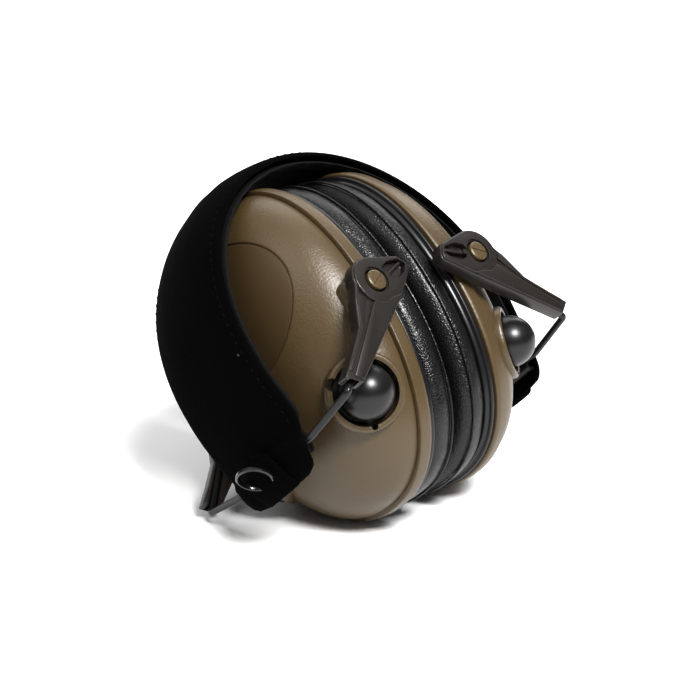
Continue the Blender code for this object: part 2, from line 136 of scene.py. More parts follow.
def add(tree, kind, **values):
    node = tree.nodes.new(kind)
    for key, value in values.items():
        if key in node.inputs:
            node.inputs[key].default_value = value
        else:
            setattr(node, key, value)
    return node


def finish(name, light, dark, rough=(0.35, 0.5), grain=1500.0, relief=0.03, blotch=60.0,
           pebbles=0.0, speck=None, stretch=None, **constants):
    """A finish: two colours mixed in slow patches, a roughness that wanders, and a fine relief."""
    material = bpy.data.materials.new(name)
    material.use_nodes = True
    tree = material.node_tree
    shader = tree.nodes["Principled BSDF"]
    for key, value in constants.items():
        shader.inputs[key.replace("_", " ")].default_value = value
    where = add(tree, "ShaderNodeTexCoord").outputs["Object"]
    if stretch:
        mapping = add(tree, "ShaderNodeMapping", Scale=stretch)
        link(tree, where, mapping.inputs["Vector"])
        where = mapping.outputs["Vector"]
    patches = add(tree, "ShaderNodeTexNoise", Scale=blotch, Detail=5.0, Roughness=0.6)
    link(tree, where, patches.inputs["Vector"])
    colours = add(tree, "ShaderNodeMix", data_type="RGBA")
    colours.inputs[6].default_value = (*dark, 1.0)
    colours.inputs[7].default_value = (*light, 1.0)
    link(tree, patches.outputs["Fac"], colours.inputs[0])
    colour_out = colours.outputs[2]
    fine = add(tree, "ShaderNodeTexNoise", Scale=grain, Detail=3.0, Roughness=0.55)
    link(tree, where, fine.inputs["Vector"])
    if speck:
        speck_scale, speck_colour, speck_from = speck
        dots = add(tree, "ShaderNodeTexNoise", Scale=speck_scale, Detail=1.0)
        link(tree, where, dots.inputs["Vector"])
        cut = add(tree, "ShaderNodeMapRange")
        cut.inputs["From Min"].default_value = speck_from
        cut.inputs["From Max"].default_value = speck_from + 0.03
        link(tree, dots.outputs["Fac"], cut.inputs["Value"])
        dotted = add(tree, "ShaderNodeMix", data_type="RGBA")
        dotted.inputs[7].default_value = (*speck_colour, 1.0)
        link(tree, colour_out, dotted.inputs[6])
        link(tree, cut.outputs["Result"], dotted.inputs[0])
        colour_out = dotted.outputs[2]
    link(tree, colour_out, shader.inputs["Base Color"])
    wander = add(tree, "ShaderNodeMapRange")
    wander.inputs["To Min"].default_value = rough[0]
    wander.inputs["To Max"].default_value = rough[1]
    link(tree, patches.outputs["Fac"], wander.inputs["Value"])
    link(tree, wander.outputs["Result"], shader.inputs["Roughness"])
    height = fine.outputs["Fac"]
    if pebbles:
        cells = add(tree, "ShaderNodeTexVoronoi", Scale=pebbles, feature="DISTANCE_TO_EDGE")
        link(tree, where, cells.inputs["Vector"])
        soften = add(tree, "ShaderNodeMapRange", interpolation_type="SMOOTHSTEP")
        soften.inputs["From Max"].default_value = 0.28
        link(tree, cells.outputs["Distance"], soften.inputs["Value"])
        both = add(tree, "ShaderNodeMath", operation="MULTIPLY_ADD")
        both.inputs[1].default_value = 0.3
        link(tree, height, both.inputs[0])
        link(tree, soften.outputs["Result"], both.inputs[2])
        height = both.outputs["Value"]
    bump = add(tree, "ShaderNodeBump", Strength=1.0, Distance=relief * MM)
    link(tree, height, bump.inputs["Height"])
    link(tree, bump.outputs["Normal"], shader.inputs["Normal"])
    return material


# %% [markdown]
# The olive of the shells is a brown-grey green with a satin, slightly sparkling skin. The blacks differ
# by gloss: leatherette is the shiniest, the arms are greyer, and the band's knit swallows the light.

# %% The finishes
olive = finish("satin olive plastic", (0.076, 0.051, 0.022), (0.067, 0.045, 0.019), (0.34, 0.41),
               grain=1400.0, relief=0.085, Specular_IOR_Level=0.6)
olive_panel = finish("nameplate olive", (0.062, 0.041, 0.017), (0.056, 0.036, 0.015), (0.38, 0.44),
                     grain=2400.0, relief=0.014, Specular_IOR_Level=0.40)
black_plastic = finish("satin black plastic", (0.010, 0.010, 0.010), (0.007, 0.007, 0.007), (0.30, 0.38),
                       grain=1800.0, relief=0.010, Specular_IOR_Level=0.4)
plate_plastic = finish("moulded cushion plate", (0.012, 0.012, 0.013), (0.008, 0.008, 0.009),
                       (0.26, 0.34), grain=2200.0, relief=0.012, Specular_IOR_Level=0.45)
arm_plastic = finish("glass filled arm plastic", (0.024, 0.020, 0.017), (0.015, 0.0125, 0.011),
                     (0.25, 0.36), grain=1500.0, relief=0.016, blotch=140.0, Specular_IOR_Level=0.5)
leatherette = finish("pebbled leatherette", (0.0050, 0.0050, 0.0052), (0.0035, 0.0035, 0.0037),
                     (0.27, 0.35), grain=2500.0, relief=0.050, pebbles=1300.0, Specular_IOR_Level=0.48,
                     Coat_Weight=0.08, Coat_Roughness=0.18)
rubber = finish("soft windscreen rubber", (0.008, 0.008, 0.008), (0.006, 0.006, 0.006), (0.28, 0.36),
                grain=2400.0, relief=0.008, Specular_IOR_Level=0.5)
knit = finish("black knit", (0.0014, 0.0014, 0.0016), (0.0009, 0.0009, 0.0011), (0.85, 0.95),
              grain=1900.0, relief=0.12, speck=(420.0, (0.05, 0.05, 0.05), 0.80),
              Specular_IOR_Level=0.03, Sheen_Weight=0.006, Sheen_Roughness=0.4)
lining_cloth = finish("lining cloth", (0.0050, 0.0050, 0.0054), (0.0032, 0.0032, 0.0036), (0.7, 0.8),
                      grain=1900.0, relief=0.10, Specular_IOR_Level=0.15, Sheen_Weight=0.03,
                      Sheen_Roughness=0.4)
thread = finish("black sewing thread", (0.004, 0.004, 0.004), (0.003, 0.003, 0.003), (0.7, 0.8),
                grain=3000.0, relief=0.03, Specular_IOR_Level=0.1)
foam = finish("open cell foam", (0.030, 0.030, 0.032), (0.012, 0.012, 0.013), (0.9, 1.0), grain=900.0,
              relief=0.35, pebbles=700.0)
wire_black = finish("black satin wire", (0.018, 0.018, 0.019), (0.012, 0.012, 0.013), (0.24, 0.34),
                    grain=900.0, relief=0.006, Metallic=0.3)
stud_black = finish("black lacquered stud", (0.006, 0.006, 0.007), (0.004, 0.004, 0.005), (0.16, 0.24),
                    grain=900.0, relief=0.004, Specular_IOR_Level=0.6, Coat_Weight=0.2)
spring_steel = finish("spring steel", (0.34, 0.34, 0.35), (0.26, 0.26, 0.27), (0.22, 0.35),
                      grain=1200.0, relief=0.01, stretch=(1.0, 8.0, 1.0), Metallic=1.0)
speaker_metal = finish("speaker metal", (0.24, 0.24, 0.25), (0.17, 0.17, 0.18), (0.28, 0.4),
                       grain=1200.0, relief=0.01, Metallic=0.9)
board_green = finish("solder mask green", (0.012, 0.10, 0.040), (0.008, 0.065, 0.028), (0.35, 0.5),
                     grain=700.0, relief=0.05, speck=(260.0, (0.45, 0.36, 0.14), 0.66))
cell_jacket = finish("cell jacket", (0.055, 0.075, 0.12), (0.040, 0.055, 0.09), (0.25, 0.35),
                     grain=800.0, relief=0.01, Metallic=0.3)
FINISH_OF_SLOT = {
    "olive_plastic": olive, "nameplate_olive": olive_panel, "black_plastic": black_plastic,
    "arm_plastic": arm_plastic, "leatherette": leatherette, "band_fabric": knit, "foam": foam,
    "black_steel": wire_black, "spring_steel": spring_steel, "circuit_board": board_green,
    "speaker_metal": speaker_metal, "battery_jacket": cell_jacket,
}
SLOT_OF_NODE = {part["node"]: part["material_slot"] for part in record["subparts"]}
for node, piece in frame["nodes"].items():
    piece.data.materials.clear()
    piece.data.materials.append(FINISH_OF_SLOT[SLOT_OF_NODE[node]])
print(len(FINISH_OF_SLOT), "finishes given to", len(frame["nodes"]), "pieces")

# %% [markdown]
# ## Camera, floor and light
# The muff stands on a white sweep under a large soft box, seen from its front right corner and from a
# little above. The long lens keeps the cups' ovals nearly true.

# %% The camera
VIEW_AZIMUTH = math.radians(-47.066)
VIEW_ELEVATION = math.radians(17.508)
CAMERA_PLACE = Vector((-0.31517, -0.29621, 0.17851))
forward = Vector((-math.sin(VIEW_AZIMUTH) * math.cos(VIEW_ELEVATION),
                  math.cos(VIEW_AZIMUTH) * math.cos(VIEW_ELEVATION), -math.sin(VIEW_ELEVATION)))
camera_data = bpy.data.cameras.new("studio camera")
camera_data.lens = 80.55
camera_data.sensor_width = 36.0
camera_data.clip_start = 0.01
camera = bpy.data.objects.new("studio camera", camera_data)
camera.location = CAMERA_PLACE
camera.rotation_euler = forward.to_track_quat("-Z", "Y").to_euler()
bpy.context.collection.objects.link(camera)
bpy.context.scene.camera = camera

# %% The floor and the lights
bpy.context.scene.view_settings.view_transform = "Standard"
bpy.context.scene.view_settings.gamma = 0.82
world = bpy.data.worlds.new("white studio")
world.use_nodes = True
sky = world.node_tree
sky.nodes["Background"].inputs["Color"].default_value = (1.0, 1.0, 1.0, 1.0)
direction = sky.nodes.new("ShaderNodeTexCoord")
split = sky.nodes.new("ShaderNodeSeparateXYZ")
overhead = sky.nodes.new("ShaderNodeMapRange")
overhead.interpolation_type = "SMOOTHSTEP"
for key, value in (("From Min", 0.15), ("From Max", 0.95), ("To Min", 0.08), ("To Max", 0.80)):
    overhead.inputs[key].default_value = value
sky.links.new(direction.outputs["Generated"], split.inputs[0])
sky.links.new(split.outputs["Z"], overhead.inputs["Value"])
sky.links.new(overhead.outputs["Result"], sky.nodes["Background"].inputs["Strength"])
bpy.context.scene.world = world
sweep = bmesh.new()
bmesh.ops.create_grid(sweep, x_segments=4, y_segments=4, size=6.0)
sweep_mesh = bpy.data.meshes.new("floor")
sweep.to_mesh(sweep_mesh)
sweep.free()
floor = bpy.data.objects.new("floor", sweep_mesh)
bpy.context.collection.objects.link(floor)
floor.data.materials.append(finish("white sweep", (0.93, 0.93, 0.93), (0.92, 0.92, 0.92), (0.6, 0.65),
                                   grain=300.0, relief=0.01, blotch=3.0, Specular_IOR_Level=0.2))


def soft_box(name, place, aim, size, watts):
    data = bpy.data.lights.new(name, "AREA")
    data.shape = "RECTANGLE"
    data.size, data.size_y = size
    data.energy = watts
    lamp = bpy.data.objects.new(name, data)
    lamp.location = place
    lamp.rotation_euler = (Vector(aim) - Vector(place)).to_track_quat("-Z", "Y").to_euler()
    bpy.context.collection.objects.link(lamp)


soft_box("key box", (-0.40, -1.45, 2.00), (0.0, 0.0, 0.04), (0.90, 0.75), 125.0)
soft_box("wall box", (-2.00, 0.30, 2.20), (0.0, 0.0, 0.04), (1.20, 1.20), 12.0)
soft_box("side box", (1.60, 0.50, 1.05), (0.0, 0.0, 0.05), (0.40, 1.10), 5.0)
soft_box("floor box", (1.00, 1.10, 1.70), (1.00, 1.10, 0.0), (1.80, 1.40), 16.0)
print("camera", [round(c, 3) for c in CAMERA_PLACE], "lens", camera_data.lens)

# %% [markdown]
# ## Small tools for making pieces
# Three shapes make most of this object. A ring of vertices that is extruded from station to station makes
# cups, rims and cushions. A profile spun about an axis makes pins, knobs and domes. An outline that is
# extruded makes the arms. A last helper lays the piece back, turns its normals out and hangs it on its body.

# %% Finishing a piece
made = []
laid = set()


def closed_piece(name, bm, material, side=1, sharp=35.0):
    """Mirrors a left-side drawing if asked, turns faces out and makes an object, still in millimetres."""
    if side < 0:
        bmesh.ops.scale(bm, vec=(-1, 1, 1), verts=bm.verts)
    bmesh.ops.recalc_face_normals(bm, faces=bm.faces)
    mesh = bpy.data.meshes.new(name)
    bm.to_mesh(mesh)
    bm.free()
    mesh.materials.append(material)
    mesh.shade_smooth()
    mesh.set_sharp_from_angle(angle=math.radians(sharp))
    piece = bpy.data.objects.new(name, mesh)
    bpy.context.collection.objects.link(piece)
    return piece


def settle(piece, sharp=35.0):
    """Applies a piece's modifiers to its mesh."""
    bpy.context.view_layer.update()
    graph = bpy.context.evaluated_depsgraph_get()
    mesh = bpy.data.meshes.new_from_object(piece.evaluated_get(graph))
    piece.modifiers.clear()
    clean = bmesh.new()
    clean.from_mesh(mesh)
    bmesh.ops.remove_doubles(clean, verts=clean.verts, dist=1e-4)
    bmesh.ops.recalc_face_normals(clean, faces=clean.faces)
    clean.to_mesh(mesh)
    clean.free()
    piece.data = mesh
    mesh.shade_smooth()
    mesh.set_sharp_from_angle(angle=math.radians(sharp))
    return piece


def combine(piece, tools, operation, side=1):
    """Joins or cuts tools, each a bmesh of the left-side drawing, into a piece."""
    cutters = [closed_piece("tool", bm, piece.data.materials[0], side) for bm in tools]
    for cutter in cutters:
        change = piece.modifiers.new(operation, "BOOLEAN")
        change.operation = operation
        change.solver = "EXACT"
        change.object = cutter
    settle(piece)
    for cutter in cutters:
        bpy.data.objects.remove(cutter)
    return piece


def lay_back(piece):
    """Carries a finished drawing into the frame, in metres."""
    if piece.name not in laid:
        piece.data.transform(TO_FRAME)
        laid.add(piece.name)
    return piece


def hang(piece, body, slot, *nodes):
    """Puts a piece on its body and hides the plain solids it stands for. Its slot is not used."""
    lay_back(piece)
    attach(piece, body)
    if nodes:
        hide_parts(*nodes)
    made.append(piece.name)
    return piece


# %% [markdown]
# ### Rings on the cup's outline
# Each vertex of the first ring remembers its turn about the cup in a layer of its own. An extruded ring
# inherits the layer, so it can be placed by a formula wherever the next station wants it.

# %% Extruding rings
RING_STEPS = 144


def oval_point(turn, half_width, half_height, power):
    c, s = math.cos(turn), math.sin(turn)
    reach = (abs(c / half_width) ** power + abs(s / half_height) ** power) ** (-1 / power)
    return reach * c, reach * s


def first_ring(bm, steps=RING_STEPS):
    """A circle whose vertices know their turn."""
    layer = bm.verts.layers.float.new("turn")
    made_ring = bmesh.ops.create_circle(bm, cap_ends=False, segments=steps, radius=1.0)
    ring = made_ring["verts"]
    for vertex in ring:
        vertex[layer] = math.atan2(vertex.co.y, vertex.co.x)
    return layer, ring, list({edge for vertex in ring for edge in vertex.link_edges})


def next_ring(bm, edges):
    """Extrudes a ring, and returns the new ring's vertices and edges."""
    grown = bmesh.ops.extrude_edge_only(bm, edges=edges)["geom"]
    ring = [g for g in grown if isinstance(g, bmesh.types.BMVert)]
    return ring, [g for g in grown if isinstance(g, bmesh.types.BMEdge)]


def ring_solid(placings, closed, steps=RING_STEPS):
    """A solid from a list of placings. Each takes a turn and gives a point; closed joins last to first."""
    bm = bmesh.new()
    layer, ring, edges = first_ring(bm, steps)
    start = edges
    for number, placing in enumerate(placings):
        if number:
            ring, edges = next_ring(bm, edges)
        for vertex in ring:
            vertex.co = placing(vertex[layer])
    if closed:
        bmesh.ops.bridge_loops(bm, edges=start + edges)
    else:
        bmesh.ops.holes_fill(bm, edges=bm.edges, sides=steps + 1)
    return bm


def cup_station(x, inset):
    """A placing on the cup's outline, at x and inset from it."""
    def placing(turn):
        y, z = oval_point(turn, CUP_HALF_WIDTH - inset, CUP_HALF_HEIGHT - inset, CUP_POWER)
        return Vector((x, y, z))
    return placing


def rounded(points, radius, steps=4):
    """An open profile of (x, inset) points with its inner corners rounded."""
    done = [points[0]]
    for before, corner, after in zip(points, points[1:], points[2:]):
        here = Vector(corner)
        a, b = Vector(before) - here, Vector(after) - here
        reach = min(radius, a.length * 0.45, b.length * 0.45)
        start, stop = here + a.normalized() * reach, here + b.normalized() * reach
        for k in range(steps + 1):
            t = k / steps
            done.append(tuple(start * (1 - t) ** 2 + here * 2 * t * (1 - t) + stop * t ** 2))
    done.append(points[-1])
    return done


# %% Turning and extruding
def axis_frame(origin, axis):
    turn = Vector((0, 0, 1)).rotation_difference(axis).to_matrix().to_4x4()
    return Matrix.Translation(origin) @ turn


def turned(profile, origin, axis, steps=64):
    """Spins a profile of (radius, height) points, from axis to axis, into a closed solid."""
    bm = bmesh.new()
    points = [bm.verts.new((radius, 0.0, height)) for radius, height in profile]
    edges = [bm.edges.new(pair) for pair in zip(points, points[1:])]
    bmesh.ops.spin(bm, geom=points + edges, cent=(0, 0, 0), axis=(0, 0, 1), dvec=(0, 0, 0),
                   angle=2 * math.pi, steps=steps, use_merge=True)
    bmesh.ops.remove_doubles(bm, verts=bm.verts, dist=1e-4)
    bmesh.ops.transform(bm, matrix=axis_frame(origin, axis), verts=bm.verts)
    return bm


def rod(radius, start, end, steps=48):
    axis = end - start
    return turned([(0, 0), (radius, 0), (radius, axis.length), (0, axis.length)], start,
                  axis.normalized(), steps)


def slab(outline, low, high, bevel=0.0, segments=2):
    """Extrudes an outline of points in XZ along Y, and takes its edges off."""
    bm = bmesh.new()
    face = bm.faces.new([bm.verts.new((x, low(x, z), z)) for x, z in outline])
    grown = bmesh.ops.extrude_face_region(bm, geom=[face])["geom"]
    for vertex in (g for g in grown if isinstance(g, bmesh.types.BMVert)):
        vertex.co.y = high(vertex.co.x, vertex.co.z)
    if bevel:
        bmesh.ops.bevel(bm, geom=bm.edges[:], offset=bevel, segments=segments, profile=0.5,
                        affect="EDGES", material=-1, clamp_overlap=True)
    return bm


def to_end(point, end):
    """A left-rear point or direction, taken to the front or the rear."""
    return Vector((point.x, point.y * end, point.z))


# %% [markdown]
# ## The cups
# The shell is one moulding: a shallow dome on an oval, with an oval let in for a nameplate. Rings run from
# the base to the nameplate's edge and change from one oval to the other on the way, so the recess gets a
# crisp rim without any cutting. The collars and the pivot bosses are joined on, and the pockets cut out.

# %% The dome
def dome_x(y, z, wall=0.0):
    width = CUP_HALF_WIDTH - DOME_INSET - wall
    height = CUP_HALF_HEIGHT - DOME_INSET - wall
    reach = (abs(y / width) ** CUP_POWER + abs(z / height) ** CUP_POWER) ** (1 / CUP_POWER)
    return DOME_BASE + (DOME_HEIGHT - wall) * math.sqrt(max(0.0, 1.0 - reach * reach))


def dome_station(share, depth=0.0, plate_scale=1.0):
    """A placing between the base outline (share 0) and the nameplate's oval (share 1)."""
    def placing(turn):
        y0, z0 = oval_point(turn, CUP_HALF_WIDTH - DOME_INSET, CUP_HALF_HEIGHT - DOME_INSET, CUP_POWER)
        y1, z1 = oval_point(turn, NAMEPLATE_HALF[0] * plate_scale, NAMEPLATE_HALF[1] * plate_scale, 2.0)
        z1 += NAMEPLATE_Z
        y, z = y0 + (y1 - y0) * share, z0 + (z1 - z0) * share
        return Vector((dome_x(y, z) - depth, y, z))
    return placing


def inner_station(lean):
    def placing(turn):
        reach = math.cos(lean)
        y, z = oval_point(turn, (CUP_HALF_WIDTH - DOME_INSET - SHELL_WALL) * reach,
                          (CUP_HALF_HEIGHT - DOME_INSET - SHELL_WALL) * reach, CUP_POWER)
        return Vector((DOME_BASE + (DOME_HEIGHT - SHELL_WALL) * math.sin(lean), y, z))
    return placing


def cup_shell():
    outer = [dome_station(0.985 * (k / 30) ** 1.9, 0.0, 1.034) for k in range(31)]
    edge = [dome_station(1.0, 0.0, 1.034), dome_station(1.0, 0.04, 1.022), dome_station(1.0, 0.14, 1.011),
            dome_station(1.0, 0.30, 1.003), dome_station(1.0, 0.48, 0.999),
            dome_station(1.0, NAMEPLATE_RECESS, 0.998)]
    panel = [dome_station(1.0, NAMEPLATE_RECESS, scale) for scale in (0.8, 0.6, 0.4, 0.2, 0.05)]
    inner = [inner_station(math.radians(a)) for a in (84, 72, 60, 48, 36, 24, 12, 0)]
    bm = ring_solid(outer + edge + panel, closed=False)
    lid = [f for f in bm.faces if len(f.verts) == RING_STEPS and f.calc_center_median().x < DOME_BASE + 1]
    bmesh.ops.delete(bm, geom=lid, context="FACES_ONLY")
    layer = bm.verts.layers.float["turn"]
    ring_edges = [e for e in bm.edges if e.is_boundary]
    for placing in reversed(inner):
        ring, ring_edges = next_ring(bm, ring_edges)
        for vertex in ring:
            vertex.co = placing(vertex[layer])
    bmesh.ops.holes_fill(bm, edges=ring_edges, sides=RING_STEPS + 1)
    return bm


BOSS_TOP, BOSS_INNER, BOSS_BACK, BOSS_HALF_HEIGHT, BOSS_ROUND = 27.0, 27.0, 5.8, 4.8, 2.6


def boss(end):
    """The block on the shell that holds a pivot pin. Its face stays behind the arm."""
    bm = bmesh.new()
    bmesh.ops.create_cube(bm, size=1.0)
    low = Vector((DOME_BASE + 0.1, BOSS_INNER, PIVOT.z - BOSS_HALF_HEIGHT))
    high = Vector((BOSS_TOP, ARM_FACE - BOSS_BACK, PIVOT.z + BOSS_HALF_HEIGHT))
    bmesh.ops.scale(bm, vec=high - low, verts=bm.verts)
    bmesh.ops.translate(bm, vec=(high + low) / 2, verts=bm.verts)
    bmesh.ops.bevel(bm, geom=bm.edges[:], offset=BOSS_ROUND, segments=6, profile=0.5, affect="EDGES",
                    material=-1)
    bmesh.ops.scale(bm, vec=(1, end, 1), verts=bm.verts)
    return bm


COLLAR_PROFILE = [(0, -5.2), (10.7, -5.2), (10.7, -0.9), (10.55, -0.35), (10.2, 0.0), (9.8, 0.1),
                  (9.3, 0.0), (0, -0.1)]
NOTCHES = ((Vector((0.739, -0.288, 0.608)), 1.7), (Vector((0.02, -0.37, -0.927)), 0.9))
for prefix, side in SIDES.items():
    shell = closed_piece(f"{prefix}_shell", cup_shell(), olive, side)
    collars = [turned(COLLAR_PROFILE, to_end(COLLAR_CENTRE, e), to_end(COLLAR_AXIS, e), 96)
               for e in ENDS.values()]
    combine(shell, collars + [boss(e) for e in ENDS.values()], "UNION", side)
    cuts = []
    for end in ENDS.values():
        centre, axis = to_end(COLLAR_CENTRE, end), to_end(COLLAR_AXIS, end)
        cuts.append(rod(8.95, centre - axis * 4.0, centre + axis * 8.0, 96))
        for notch, radius in NOTCHES:
            foot = centre + to_end(notch, end) * 9.3 - axis * 3.9
            cuts.append(rod(radius, foot, foot + axis * 7.0, 24))
        cuts.append(rod(1.8, Vector((PIVOT.x, 20 * end, PIVOT.z)), Vector((PIVOT.x, 40 * end, PIVOT.z))))
    base = bmesh.new()
    bmesh.ops.create_cube(base, size=1.0)
    bmesh.ops.scale(base, vec=(DOME_BASE - 0.06, 130, 130), verts=base.verts)
    bmesh.ops.translate(base, vec=((DOME_BASE - 0.06) / 2, 0, 0), verts=base.verts)
    combine(shell, cuts + [base], "DIFFERENCE", side)
    hang(shell, f"{prefix}_cup", "olive_plastic", f"{prefix}_cup_shell")
print("shell faces:", len(shell.data.polygons))

# %% [markdown]
# The rim ring, the black plate and the nameplate are plain mouldings with softened edges. The nameplate
# follows the dome a little below its surface. It is left blank.

# %% Rim, cushion plate and nameplate
RIM_X = (rim_low.x, rim_high.x)
PLATE_X = (plate_low.x, plate_high.x)
rim_profile = rounded([(RIM_X[0], 4.6), (RIM_X[0], 0.35), (RIM_X[0] + 1.0, 0.0), (RIM_X[1], 0.25),
                       (RIM_X[1], 4.6)], 0.4)
plate_profile = rounded([(PLATE_X[1], 17.0), (PLATE_X[1], 0.9), (PLATE_X[0] + 1.1, 0.7),
                         (PLATE_X[0] + 0.9, 1.9), (PLATE_X[0], 2.3), (PLATE_X[0], 17.0)], 0.5)


def nameplate():
    low, high = NAMEPLATE_RECESS - 0.3, 0.46
    shrink = 0.996
    scales = [0.04, 0.25, 0.5, 0.75, 0.92, 1.0]
    under = [dome_station(1.0, low, s * shrink) for s in scales]
    side_up = [dome_station(1.0, high + 0.10, shrink), dome_station(1.0, high + 0.02, shrink * 0.997)]
    over = [dome_station(1.0, high, s * shrink) for s in reversed(scales[:-1] + [0.985])]
    return ring_solid(under + side_up + over, closed=False)


for prefix, side in SIDES.items():
    rim = ring_solid([cup_station(x, inset) for x, inset in rim_profile], closed=True)
    hang(closed_piece(f"{prefix}_rim_ring", rim, olive, side), f"{prefix}_cup", "olive_plastic",
         f"{prefix}_cup_rim")
    plate = ring_solid([cup_station(x, inset) for x, inset in plate_profile], closed=True)
    hang(closed_piece(f"{prefix}_plate", plate, plate_plastic, side), f"{prefix}_cup", "black_plastic",
         f"{prefix}_cushion_plate")
    hang(closed_piece(f"{prefix}_name_panel", nameplate(), olive_panel, side), f"{prefix}_cup",
         "nameplate_olive", f"{prefix}_nameplate")

# %% [markdown]
# ## Ear cushions
# A cushion is a bag of thin leatherette round a foam ring. Its rounded section and its small creases are
# drawn directly. The cloth solver's pressure then relaxes the surface while the back edge stays clamped
# to the plate. At this pressure it moves by less than a tenth of a millimetre, so the drawn shape is what
# is seen. A welted seam runs round the edge.

# %% Relaxing a padded piece with cloth pressure
def puff(piece, clamped, pressure, frames, cap, stiffness=8.0):
    """Puts cloth pressure in a closed mesh, holds its clamped vertices and limits how far the rest move."""
    rest = np.zeros(len(piece.data.vertices) * 3)
    piece.data.vertices.foreach_get("co", rest)
    rest = rest.reshape(-1, 3)
    group = piece.vertex_groups.new(name="clamped")
    group.add([int(k) for k in np.nonzero(clamped(rest))[0]], 1.0, "REPLACE")
    cloth = piece.modifiers.new("inflate", "CLOTH")
    settings = cloth.settings
    settings.quality = 6
    settings.mass = 0.05
    settings.tension_stiffness = settings.compression_stiffness = stiffness
    settings.shear_stiffness = stiffness / 2
    settings.bending_stiffness = 0.02
    settings.use_pressure = True
    settings.uniform_pressure_force = pressure
    settings.vertex_group_mass = "clamped"
    settings.effector_weights.gravity = 0.0
    cloth.collision_settings.use_collision = False
    cloth.point_cache.frame_start, cloth.point_cache.frame_end = 1, frames
    scene = bpy.context.scene
    for number in range(1, frames + 1):
        scene.frame_set(number)
    graph = bpy.context.evaluated_depsgraph_get()
    shaped = piece.evaluated_get(graph).to_mesh()
    moved = np.zeros(len(rest) * 3)
    shaped.vertices.foreach_get("co", moved)
    step = moved.reshape(-1, 3) - rest
    length = np.linalg.norm(step, axis=1, keepdims=True)
    limit = np.minimum(1.0, cap / np.maximum(length, 1e-9))
    piece.modifiers.remove(cloth)
    piece.vertex_groups.clear()
    piece.data.vertices.foreach_set("co", (rest + step * limit).ravel())
    piece.data.update()
    scene.frame_set(1)
    print(f"{piece.name}: moved by {1000 * float((length * limit).max()):.2f} mm at most")


# %% Cushions and their seams
FACE_X, BACK_X = cushion_low.x, cushion_high.x
cushion_profile = rounded([(BACK_X, 15.9), (BACK_X, 3.4), (BACK_X - 1.2, 1.9), (BACK_X - 3.4, 1.3),
                           (BACK_X - 6.2, 1.5), (FACE_X + 1.6, 3.3), (FACE_X + 0.5, 6.0),
                           (FACE_X + 0.4, 10.5), (FACE_X + 2.4, 14.6), (BACK_X - 3.0, 15.9)], 1.2, 3)
for prefix, side in SIDES.items():
    ring = ring_solid([cup_station(x, inset) for x, inset in cushion_profile], closed=True, steps=192)
    for vertex in ring.verts:
        crease = noise.noise(vertex.co * 0.16 + Vector((7.0 * side, 0, 0)))
        vertex.co += vertex.co.normalized() * 0.25 * crease
    cushion = lay_back(closed_piece(f"{prefix}_cushion", ring, leatherette, side, 80.0))
    back_plane = (TO_FRAME @ Vector((side * (BACK_X - 0.9), 0, 0))).x
    puff(cushion, lambda co, s=side, b=back_plane: co[:, 0] * s > b * s, 6.0, 16, 0.0008)
    hang(cushion, f"{prefix}_cup", "leatherette", f"{prefix}_ear_cushion")
    welt_profile = [(BACK_X - 6.4 + 0.34 * math.cos(t), 1.2 + 0.34 * math.sin(t))
                    for t in (2 * math.pi * k / 8 for k in range(8))]
    welt = ring_solid([cup_station(x, inset) for x, inset in welt_profile], closed=True, steps=192)
    hang(closed_piece(f"{prefix}_cushion_welt", welt, leatherette, side), f"{prefix}_cup", "leatherette")

# %% [markdown]
# ## Windscreens, control and cap
# The front collars hold soft black domes over the microphones. The rear ones hold a ribbed control on the
# right cup and a slotted cap over the cells on the left. All are turned shapes.

# %% Parts in the collars
WINDSCREEN_RADIUS = 7.5
arc = [(WINDSCREEN_RADIUS * math.cos(math.radians(a)), WINDSCREEN_RADIUS * math.sin(math.radians(a)))
       for a in range(0, 90, 5)]
for prefix, side in SIDES.items():
    profile = [(0, -3.5), (8.5, -3.5), (8.5, -2.6), (WINDSCREEN_RADIUS, -2.2)]
    profile += arc + [(0, WINDSCREEN_RADIUS)]
    dome = turned(profile, to_end(COLLAR_CENTRE, -1), to_end(COLLAR_AXIS, -1), 96)
    hang(closed_piece(f"{prefix}_windscreen", dome, rubber, side), f"{prefix}_cup", "black_plastic",
         f"{prefix}_microphone_windscreen")
knob_profile = [(0, -3.5), (8.0, -3.5), (8.4, -3.0), (8.4, 0.9), (8.1, 1.5), (7.4, 1.9), (6.6, 1.75),
                (6.2, 1.5), (3.0, 1.5), (0, 1.6)]
for name, side, ribs in (("volume_knob", -1, 36), ("battery_cap", 1, 0)):
    button = closed_piece(f"{name}_turned", turned(knob_profile, COLLAR_CENTRE, COLLAR_AXIS, 96),
                          black_plastic, side)
    sideways = COLLAR_AXIS.cross(Vector((0, 0, 1))).normalized()
    top = COLLAR_CENTRE + COLLAR_AXIS * 1.9
    slots = [rod(0.8, top - sideways * 5.2, top + sideways * 5.2, 24)]
    if ribs:
        slots = [rod(0.8, top + sideways * 2.4, top + sideways * 6.6, 24)]
        for k in range(ribs):
            spoke = Matrix.Rotation(2 * math.pi * k / ribs, 3, COLLAR_AXIS) @ sideways
            foot = COLLAR_CENTRE + spoke * 8.65
            slots.append(rod(0.32, foot - COLLAR_AXIS * 2.4, foot + COLLAR_AXIS * 2.4, 8))
    combine(button, slots, "DIFFERENCE", side)
    hang(button, name, "black_plastic", name)

# %% [markdown]
# ## Arms and pins
# An arm is a channel moulding: a long bar that tapers to its tip, a raised facet along it, and a thicker
# head shaped like a teardrop. The head has a pointed scoop with a ridge beside the pin. The wire lies in
# the channel on the inner side. The pin's head is olive, with a fine slot.

